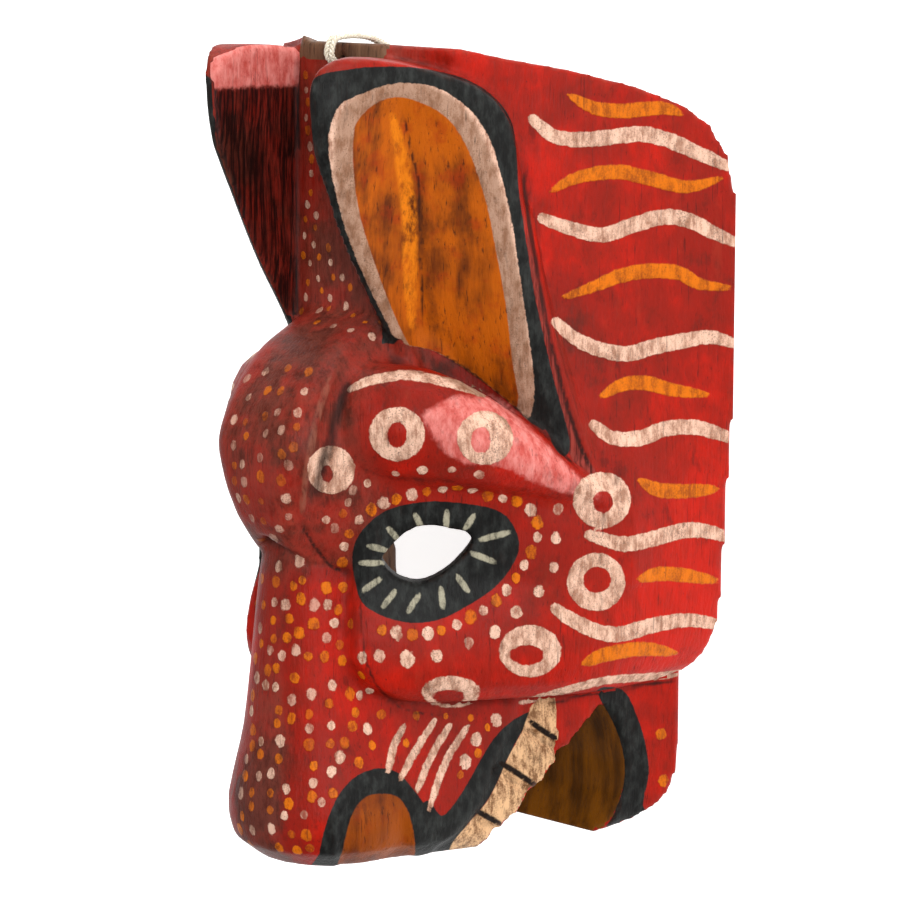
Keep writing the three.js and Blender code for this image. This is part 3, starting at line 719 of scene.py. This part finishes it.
def mark_dots(mesh, dots):
    """Each face's corners get their place in the nearest dot, where its edge is at 1."""
    tree = kdtree.KDTree(len(dots))
    for i, dot in enumerate(dots):
        tree.insert(dot[0], i)
    tree.balance()
    corners = len(mesh.loops)
    spot = np.full((corners, 3), 9.0)
    kind = np.zeros(corners)
    cover = np.zeros(corners)
    points = arrays(mesh)[0]
    index = np.empty(corners, int)
    mesh.loops.foreach_get("vertex_index", index)
    squash = np.array([1.0, 0.84, 1.0])
    for face in mesh.polygons:
        _, i, gap = tree.find(face.center)
        place, radius, paint, strength = dots[i]
        if gap > 3.2 * radius + 2 * MM:
            continue
        span = slice(face.loop_start, face.loop_start + face.loop_total)
        spot[span] = (points[index[span]] - np.array(place)) * squash / radius
        kind[span] = 1.0 if paint == "ochre" else 0.0
        cover[span] = strength
    store(mesh, "spot", spot, "CORNER", "FLOAT_VECTOR")
    store(mesh, "spot_cover", cover, "CORNER")
    store(mesh, "spot_kind", kind, "CORNER")


def store(mesh, name, values, domain="POINT", kind="FLOAT"):
    layer = mesh.attributes.new(name, kind, domain)
    field = "vector" if kind == "FLOAT_VECTOR" else "value"
    layer.data.foreach_set(field, np.asarray(values, np.float32).ravel())


# Shader helpers
def colour(red, green, blue):
    """A colour as it looks on screen, from 0 to 255, made linear."""
    def linear(value):
        part = value / 255
        return part / 12.92 if part <= 0.04045 else ((part + 0.055) / 1.055) ** 2.4
    return (linear(red), linear(green), linear(blue), 1.0)


def place_node(tree, kind, inputs=None, **settings):
    made = tree.nodes.new(kind)
    for name, value in settings.items():
        setattr(made, name, value)
    for name, value in (inputs or {}).items():
        socket = made.inputs[name]
        if isinstance(value, bpy.types.NodeSocket):
            tree.links.new(value, socket)
        else:
            socket.default_value = value
    return made


def maths(tree, operation, *values, clamp=False):
    inputs = dict(enumerate(values))
    return place_node(tree, "ShaderNodeMath", inputs, operation=operation, use_clamp=clamp).outputs[0]


def blend(tree, share, low, high, mode="MIX"):
    node = place_node(tree, "ShaderNodeMix", {0: share, 6: low, 7: high}, data_type="RGBA", blend_type=mode)
    return node.outputs[2]


def ranged(tree, value, low, high, to_low=0.0, to_high=1.0):
    inputs = {"Value": value, "From Min": low, "From Max": high, "To Min": to_low, "To Max": to_high}
    return place_node(tree, "ShaderNodeMapRange", inputs, interpolation_type="SMOOTHSTEP").outputs[0]


def stretched(tree, vector, scale):
    inputs = {0: vector, 1: scale}
    return place_node(tree, "ShaderNodeVectorMath", inputs, operation="MULTIPLY").outputs[0]


def noise(tree, vector, scale, detail=3.0, roughness=0.55, distortion=0.0):
    inputs = {
        "Vector": vector, "Scale": scale, "Detail": detail, "Roughness": roughness, "Distortion": distortion,
    }
    return place_node(tree, "ShaderNodeTexNoise", inputs).outputs["Fac"]


def attribute(tree, name, output="Fac"):
    return place_node(tree, "ShaderNodeAttribute", attribute_name=name).outputs[output]


def shader_group(name, inputs, outputs):
    tree = bpy.data.node_groups.new(name, "ShaderNodeTree")
    for title, kind, value in inputs:
        socket = tree.interface.new_socket(title, in_out="INPUT", socket_type=kind)
        if value is not None:
            socket.default_value = value
    for title, kind in outputs:
        tree.interface.new_socket(title, in_out="OUTPUT", socket_type=kind)
    return tree, tree.nodes.new("NodeGroupInput").outputs, tree.nodes.new("NodeGroupOutput").inputs


def use_group(tree, group, inputs):
    made = place_node(tree, "ShaderNodeGroup", node_tree=group)
    for name, value in inputs.items():
        if isinstance(value, bpy.types.NodeSocket):
            tree.links.new(value, made.inputs[name])
        else:
            made.inputs[name].default_value = value
    return made.outputs


def grain_group():
    """Wood grain along the length of the block: fine streaks and broad bands."""
    tree, given, made = shader_group(
        "wood_grain",
        [("Place", "NodeSocketVector", None), ("Fineness", "NodeSocketFloat", 1.0)],
        [("Streaks", "NodeSocketFloat"), ("Bands", "NodeSocketFloat")])
    bent = noise(tree, given["Place"], 22.0, 2.0)
    shift = maths(tree, "MULTIPLY", bent, 0.006)
    bend = {0: given["Place"], 1: shift}
    moved = place_node(tree, "ShaderNodeVectorMath", bend, operation="ADD").outputs[0]
    fine = stretched(tree, moved, (1.0, 0.045, 1.0))
    broad = stretched(tree, moved, (1.0, 0.16, 1.0))
    streaks = noise(tree, fine, maths(tree, "MULTIPLY", given["Fineness"], 900.0), 4.0, 0.62)
    bands = noise(tree, broad, maths(tree, "MULTIPLY", given["Fineness"], 120.0), 4.0, 0.6)
    tree.links.new(streaks, made["Streaks"])
    tree.links.new(bands, made["Bands"])
    return tree


def edge_group():
    """Turns a distance in millimetres from a painted edge into a mask with a hand-painted edge."""
    tree, given, made = shader_group(
        "painted_edge",
        [("Place", "NodeSocketVector", None), ("Distance", "NodeSocketFloat", 0.0),
         ("Waver", "NodeSocketFloat", 0.5), ("Softness", "NodeSocketFloat", 0.25)],
        [("Mask", "NodeSocketFloat")])
    rough = noise(tree, given["Place"], 420.0, 4.0, 0.65)
    rough = maths(tree, "SUBTRACT", rough, 0.5)
    moved = maths(tree, "MULTIPLY_ADD", rough, given["Waver"], given["Distance"])
    soft = given["Softness"]
    minus = maths(tree, "MULTIPLY", soft, -1.0)
    mask = place_node(tree, "ShaderNodeMapRange", {
        "Value": moved, "From Min": minus, "From Max": soft, "To Min": 1.0, "To Max": 0.0,
    }, interpolation_type="SMOOTHSTEP").outputs[0]
    tree.links.new(mask, made["Mask"])
    return tree


def wear_and_shade_group():
    """Old paint with painted light: painted shade in the hollows, creases and knife lines, painted
    highlights on the ridges, and the paint's own stains, scratches, flecks and worn high edges.
    """
    tree, given, made = shader_group(
        "aged_paint_and_shade",
        [("Place", "NodeSocketVector", None), ("Color", "NodeSocketColor", (0.5, 0.1, 0.05, 1.0)),
         ("Recess_shade", "NodeSocketFloat", 0.0), ("Edge", "NodeSocketFloat", 0.0),
         ("Shade_and_highlight_lines", "NodeSocketFloat", 0.0), ("Streaks", "NodeSocketFloat", 0.5),
         ("Worn_and_lit", "NodeSocketColor", (0.5, 0.3, 0.25, 1.0))],
        [("Color", "NodeSocketColor"), ("Dirt_and_shade", "NodeSocketFloat")])
    cloud = noise(tree, given["Place"], 70.0, 6.0, 0.68)
    smear = noise(tree, stretched(tree, given["Place"], (1.0, 0.3, 1.0)), 240.0, 5.0, 0.68)
    fleck = noise(tree, stretched(tree, given["Place"], (1.0, 0.35, 1.0)), 1400.0, 2.0, 0.6)
    loose = maths(tree, "SUBTRACT", smear, 0.5)
    # Painted shade in the hollows
    hollow_shade = ranged(tree, maths(tree, "MULTIPLY_ADD", loose, 0.5, given["Recess_shade"]), 0.18, 0.7)
    # Painted shade along the knife lines, in the grooves and under the edges of parts
    line = ranged(tree, maths(tree, "MULTIPLY_ADD", loose, 0.7, given["Shade_and_highlight_lines"]), 0.25, 0.75)
    # Painted shade in the creases
    crease_shade = ranged(tree, maths(tree, "MULTIPLY", given["Edge"], -1.0), 0.05, 0.2)
    # Stains, scratches and flecks of the old paint
    stain = ranged(tree, maths(tree, "MULTIPLY_ADD", cloud, 0.7, smear), 0.92, 1.12)
    scratch = ranged(tree, maths(tree, "MULTIPLY_ADD", cloud, 0.1, given["Streaks"]), 0.65, 0.75)
    spots = ranged(tree, maths(tree, "MULTIPLY_ADD", cloud, 0.3, fleck), 0.8, 0.92)
    # Dirt and painted shade together darken the paint
    dirt_and_shade = maths(tree, "MULTIPLY", hollow_shade, 0.8)
    for share, strength in ((line, 0.88), (crease_shade, 0.7), (stain, 0.42), (scratch, 0.5), (spots, 0.55)):
        dirt_and_shade = maths(tree, "MAXIMUM", dirt_and_shade, maths(tree, "MULTIPLY", share, strength))
    dark = blend(tree, dirt_and_shade, given["Color"], colour(26, 13, 9))
    # Worn paint on the high edges, and painted highlight on the ridges where the paint is also worn
    high = ranged(tree, given["Edge"], 0.1, 0.3)
    ridge_highlight = ranged(tree, given["Shade_and_highlight_lines"], -0.25, -0.65)
    wear_and_ridge_highlight = maths(tree, "MULTIPLY", maths(tree, "MAXIMUM", high, ridge_highlight), ranged(tree, smear, 0.4, 0.62))
    worn_and_highlit = blend(tree, maths(tree, "MULTIPLY", wear_and_ridge_highlight, 0.65), dark, given["Worn_and_lit"])
    tree.links.new(worn_and_highlit, made["Color"])
    tree.links.new(dirt_and_shade, made["Dirt_and_shade"])
    return tree


GRAIN = grain_group()
PAINTED_EDGE = edge_group()
AGED_PAINT_AND_SHADE = wear_and_shade_group()


def new_material(name):
    material = bpy.data.materials.new(name)
    material.use_nodes = True
    tree = material.node_tree
    return material, tree, tree.nodes["Principled BSDF"]


def painted_wood():
    material, tree, surface = new_material("painted_wood")
    place = place_node(tree, "ShaderNodeTexCoord").outputs["Object"]
    grain = use_group(tree, GRAIN, {"Place": place, "Fineness": 1.0})
    streaks, bands = grain["Streaks"], grain["Bands"]
    cloud = noise(tree, place, 30.0, 5.0, 0.62)
    brush = noise(tree, stretched(tree, place, (1.0, 0.45, 1.0)), 300.0, 5.0, 0.66)
    speck = noise(tree, place, 1500.0, 2.0, 0.6)
    wash = maths(tree, "MULTIPLY_ADD", speck, 0.35, maths(tree, "MULTIPLY_ADD", streaks, 0.4, brush))

    def mask(name, waver=0.5, softness=0.25):
        return use_group(tree, PAINTED_EDGE, {
            "Place": place, "Distance": attribute(tree, name), "Waver": waver, "Softness": softness})["Mask"]

    def brushed(share, distance, bare, full):
        """A coat of paint that is thin at its edges and where the brush ran dry."""
        inner = maths(tree, "MULTIPLY", distance, -0.07)
        body = ranged(tree, maths(tree, "ADD", wash, inner), bare, full, 0.2, 1.0)
        return maths(tree, "MULTIPLY", share, body)

    # Red ground: vermilion on the flat sides, darker crimson and brown on the front
    blotch = noise(tree, place, 110.0, 4.0, 0.6)
    tone = maths(tree, "MULTIPLY_ADD", attribute(tree, "bright"), 0.52, maths(tree, "MULTIPLY", cloud, 1.2))
    tone = maths(tree, "MULTIPLY_ADD", maths(tree, "SUBTRACT", brush, 0.5), 0.9, tone)
    tone = maths(tree, "MULTIPLY_ADD", maths(tree, "SUBTRACT", blotch, 0.5), 0.8, tone)
    patch = noise(tree, place, 15.0, 3.0, 0.55)
    tone = maths(tree, "MULTIPLY_ADD", maths(tree, "SUBTRACT", patch, 0.5), 1.3, tone)
    red = blend(tree, ranged(tree, tone, 0.35, 0.9), colour(78, 26, 15), colour(138, 22, 8))
    red = blend(tree, ranged(tree, tone, 0.9, 1.7), red, colour(186, 22, 2))
    stain = noise(tree, stretched(tree, place, (1.0, 0.5, 1.0)), 46.0, 6.0, 0.7, 0.6)
    red = blend(tree, ranged(tree, maths(tree, "MULTIPLY_ADD", brush, 0.3, stain), 0.62, 0.86, 0.0, 0.55),
                red, colour(96, 26, 12))
    haze = ranged(tree, maths(tree, "MULTIPLY_ADD", brush, 0.6, bands), 0.88, 1.1, 0.0, 0.24)
    red = blend(tree, haze, red, colour(150, 54, 34))
    dull = ranged(tree, attribute(tree, "bright"), 0.0, 0.6, 0.26, 0.0)
    red = blend(tree, maths(tree, "MULTIPLY", dull, ranged(tree, wash, 0.6, 1.0)), red, colour(146, 80, 66))

    # Pink worn paint and painted highlight on the brow wing and on the tops of the inner ear faces
    pink_and_highlight = blend(tree, ranged(tree, brush, 0.3, 0.75), colour(184, 78, 70), colour(214, 132, 124))
    pink_and_highlight_mask = mask("pink_and_highlight", 3.5, 1.2)
    made = blend(tree, maths(tree, "MULTIPLY", pink_and_highlight_mask, ranged(tree, wash, 0.6, 0.9, 0.7, 1.0)), red, pink_and_highlight)
    rim = blend(tree, ranged(tree, streaks, 0.35, 0.65), colour(142, 52, 42), colour(84, 20, 14))
    made = blend(tree, mask("edge", 0.6, 0.5), made, rim)
    throat = blend(tree, ranged(tree, bands, 0.35, 0.7), colour(118, 68, 6), colour(68, 37, 4))
    made = blend(tree, mask("mouth", 0.5, 0.4), made, throat)
    black = blend(tree, ranged(tree, brush, 0.4, 0.75), colour(16, 16, 15), colour(46, 48, 46))
    made = blend(tree, mask("black", 0.7, 0.22), made, black)

    chalk = blend(tree, ranged(tree, wash, 0.7, 1.0), colour(158, 114, 92), colour(226, 184, 160))
    chalk = blend(tree, ranged(tree, maths(tree, "MULTIPLY_ADD", bands, 0.5, speck), 0.8, 0.95, 0.0, 0.6),
                  chalk, colour(72, 44, 30))
    by_amber = ranged(tree, attribute(tree, "amber"), 6.0, 8.5, 0.62, 0.0)
    chalk = blend(tree, by_amber, chalk, colour(112, 76, 50))
    cream_mask = mask("cream", 1.6, 0.25)
    made = blend(tree, brushed(cream_mask, attribute(tree, "cream"), 0.5, 0.82), made, chalk)

    amber = blend(tree, ranged(tree, maths(tree, "MULTIPLY_ADD", cloud, 0.9, bands), 0.8, 1.2),
                  colour(178, 84, 0), colour(88, 36, 2))
    amber = blend(tree, ranged(tree, blotch, 0.5, 0.72, 0.0, 0.6), amber, colour(150, 44, 2))
    amber = blend(tree, ranged(tree, streaks, 0.56, 0.72, 0.0, 0.55), amber, colour(58, 26, 6))
    # Painted highlight in bright amber beside the crease in the ear
    amber = blend(tree, maths(tree, "MULTIPLY", mask("crease_highlight", 1.2, 1.0), ranged(tree, brush, 0.35, 0.6)),
                  amber, colour(214, 116, 8))
    height_up = place_node(tree, "ShaderNodeSeparateXYZ", {"Vector": place}).outputs["Y"]
    amber = blend(tree, ranged(tree, height_up, -0.09, -0.06, 0.55, 0.0), amber, colour(96, 38, 0))
    made = blend(tree, mask("amber", 0.8, 0.3), made, amber)
    ochre = blend(tree, ranged(tree, wash, 0.65, 1.0), colour(146, 68, 4), colour(208, 106, 2))
    ochre_mask = mask("ochre", 1.4, 0.35)
    made = blend(tree, brushed(ochre_mask, attribute(tree, "ochre"), 0.5, 0.85), made, ochre)
    grey = blend(tree, ranged(tree, wash, 0.6, 1.0), colour(70, 68, 56), colour(164, 158, 136))
    made = blend(tree, brushed(mask("tick", 0.9, 0.3), attribute(tree, "tick"), 0.5, 0.8), made, grey)
    ivory = blend(tree, ranged(tree, wash, 0.7, 1.0), colour(120, 82, 52), colour(218, 174, 130))
    made = blend(tree, mask("tooth", 0.5, 0.25), made, ivory)
    made = blend(tree, mask("cut", 0.5, 0.4), made, colour(26, 14, 8))

    # Dots
    spot = attribute(tree, "spot", "Vector")
    reach = place_node(tree, "ShaderNodeVectorMath", {0: spot}, operation="LENGTH").outputs["Value"]
    uneven = noise(tree, place, 360.0, 3.0, 0.6)
    reach = maths(tree, "MULTIPLY_ADD", maths(tree, "SUBTRACT", uneven, 0.5), 1.1, reach)
    dot = ranged(tree, reach, 0.84, 1.1, 1.0, 0.0)
    dot_paint = blend(tree, attribute(tree, "spot_kind"), chalk, ochre)
    thin = maths(tree, "MULTIPLY", attribute(tree, "spot_cover"), ranged(tree, wash, 0.55, 0.9, 0.45, 1.15))
    made = blend(tree, maths(tree, "MULTIPLY", dot, thin, clamp=True), made, dot_paint)

    # Bare wood behind and on the top edge, and painted shadow on the inner faces of the ears
    plain = blend(tree, ranged(tree, bands, 0.3, 0.7), colour(118, 86, 64), colour(74, 48, 34))
    plain = blend(tree, ranged(tree, streaks, 0.5, 0.7, 0.0, 0.7), plain, colour(48, 31, 23))
    made = blend(tree, mask("bare", 1.0, 0.6), made, plain)
    # Painted shadow, near black, on the inner faces of the ears below their pink tops
    shade = attribute(tree, "shaded_inner_ear")
    shade = maths(tree, "MULTIPLY", shade, ranged(tree, streaks, 0.35, 0.6, 0.4, 0.95))
    shade = maths(tree, "MULTIPLY", shade, maths(tree, "SUBTRACT", 1.0, pink_and_highlight_mask))
    made = blend(tree, shade, made, colour(18, 4, 4))

    aged_and_shaded = use_group(tree, AGED_PAINT_AND_SHADE, {
        "Place": place, "Color": made, "Recess_shade": attribute(tree, "recess_shade"),
        "Edge": attribute(tree, "edge_out"), "Shade_and_highlight_lines": attribute(tree, "shade_and_highlight"),
        "Streaks": streaks, "Worn_and_lit": colour(134, 78, 60)})
    tree.links.new(aged_and_shaded["Color"], surface.inputs["Base Color"])
    surface.inputs["Specular IOR Level"].default_value = 0.12

    gloss = maths(tree, "MULTIPLY_ADD", brush, 0.25, 0.33)
    gloss = maths(tree, "MULTIPLY_ADD", cream_mask, 0.14, gloss)
    gloss = maths(tree, "MULTIPLY_ADD", aged_and_shaded["Dirt_and_shade"], 0.12, gloss, clamp=True)
    tree.links.new(gloss, surface.inputs["Roughness"])

    thick = maths(tree, "MAXIMUM", maths(tree, "MAXIMUM", cream_mask, ochre_mask), dot)
    height = maths(tree, "MULTIPLY_ADD", streaks, -0.6, maths(tree, "MULTIPLY", thick, 0.35))
    height = maths(tree, "MULTIPLY_ADD", brush, 0.6, height)
    height = maths(tree, "MULTIPLY_ADD", bands, 0.5, height)
    bump = place_node(tree, "ShaderNodeBump", {"Strength": 0.85, "Distance": 0.6 * MM, "Height": height})
    tree.links.new(bump.outputs["Normal"], surface.inputs["Normal"])
    return material


def twisted_cotton():
    material, tree, surface = new_material("twisted_cotton")
    place = place_node(tree, "ShaderNodeTexCoord").outputs["Object"]
    fibre = noise(tree, place, 2600.0, 3.0, 0.6)
    dirt = noise(tree, place, 300.0, 3.0, 0.6)
    made = blend(tree, ranged(tree, fibre, 0.35, 0.65), colour(196, 184, 160), colour(240, 234, 218))
    made = blend(tree, ranged(tree, dirt, 0.5, 0.75, 0.0, 0.5), made, colour(160, 140, 112))
    tree.links.new(made, surface.inputs["Base Color"])
    surface.inputs["Roughness"].default_value = 0.9
    bump = place_node(tree, "ShaderNodeBump", {"Strength": 0.6, "Distance": 0.15 * MM, "Height": fibre})
    tree.links.new(bump.outputs["Normal"], surface.inputs["Normal"])
    return material


# Make the mask
mask_piece = carved_form()
mask_places, mask_normals = arrays(mask_piece.data)
mask_tree = search_tree(mask_piece.data)
# Knife lines in the carving, with painted shade and painted highlight along them
knife_depth, knife_shade_and_highlight = knife_marks(mask_places, mask_normals, mask_tree)
mask_places = raise_far_ear(mask_places + mask_normals * knife_depth[:, None] * MM)
mask_piece.data.vertices.foreach_set("co", mask_places.ravel())
mask_piece.data.update()
mask_places, mask_normals = arrays(mask_piece.data)
mask_tree = search_tree(mask_piece.data)
mask_maps = paint_maps(mask_places, mask_normals, mask_tree)
# Painted shade in the hollows, and how sharply each point stands out
recess_shade, edge_out = surface_maps(mask_piece.data, mask_places, mask_normals, mask_tree)
for map_name, map_values in mask_maps.items():
    store(mask_piece.data, map_name, np.clip(map_values, -FAR, FAR))
store(mask_piece.data, "recess_shade", recess_shade)
store(mask_piece.data, "edge_out", edge_out)
store(mask_piece.data, "shade_and_highlight", knife_shade_and_highlight)
store(mask_piece.data, "bright", brightness(mask_places))
mark_dots(mask_piece.data, painted_dots(mask_tree))
mask_piece.data.materials.clear()
mask_piece.data.materials.append(painted_wood())
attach(mask_piece, "root")
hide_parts("mask")

cord_piece = hanging_cord()
cord_piece.data.materials.clear()
cord_piece.data.materials.append(twisted_cotton())
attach(cord_piece, "root")
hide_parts("hanging_cord")


# Floor and light
def make_floor():
    shape = bmesh.new()
    bmesh.ops.create_grid(shape, x_segments=1, y_segments=1, size=6)
    mesh = bpy.data.meshes.new("floor")
    shape.to_mesh(mesh)
    shape.free()
    floor = new_object("floor", mesh)
    material, tree, surface = new_material("pale_floor")
    surface.inputs["Base Color"].default_value = (0.9, 0.9, 0.9, 1)
    surface.inputs["Roughness"].default_value = 0.9
    surface.inputs["Emission Color"].default_value = (1, 1, 1, 1)
    surface.inputs["Emission Strength"].default_value = 0.8
    mesh.materials.append(material)


def make_light(name, place, aim, size, power):
    data = bpy.data.lights.new(name, "AREA")
    data.shape = "SQUARE"
    data.size = size
    data.energy = power
    lamp = bpy.data.objects.new(name, data)
    place = Vector(place)
    turned = (Vector(aim) - place).to_track_quat("-Z", "Y").to_matrix().to_4x4()
    lamp.matrix_world = Matrix.Translation(place) @ turned
    scene.collection.objects.link(lamp)


make_floor()
make_light("key", (1.72, 0.5, 1.42), (0, 0, 0.05), 0.7, 33)
make_light("crown", (0.1, 1.5, 0.4), (0, -0.05, 0.02), 0.9, 16)
make_light("fill", (-0.7, -0.5, 1.9), (0, 0, 0.05), 1.6, 8)
world = bpy.data.worlds.new("studio")
world.use_nodes = True
world.node_tree.nodes["Background"].inputs["Color"].default_value = (1, 1, 1, 1)
world.node_tree.nodes["Background"].inputs["Strength"].default_value = 0.35
scene.world = world
scene.view_settings.view_transform = "Standard"
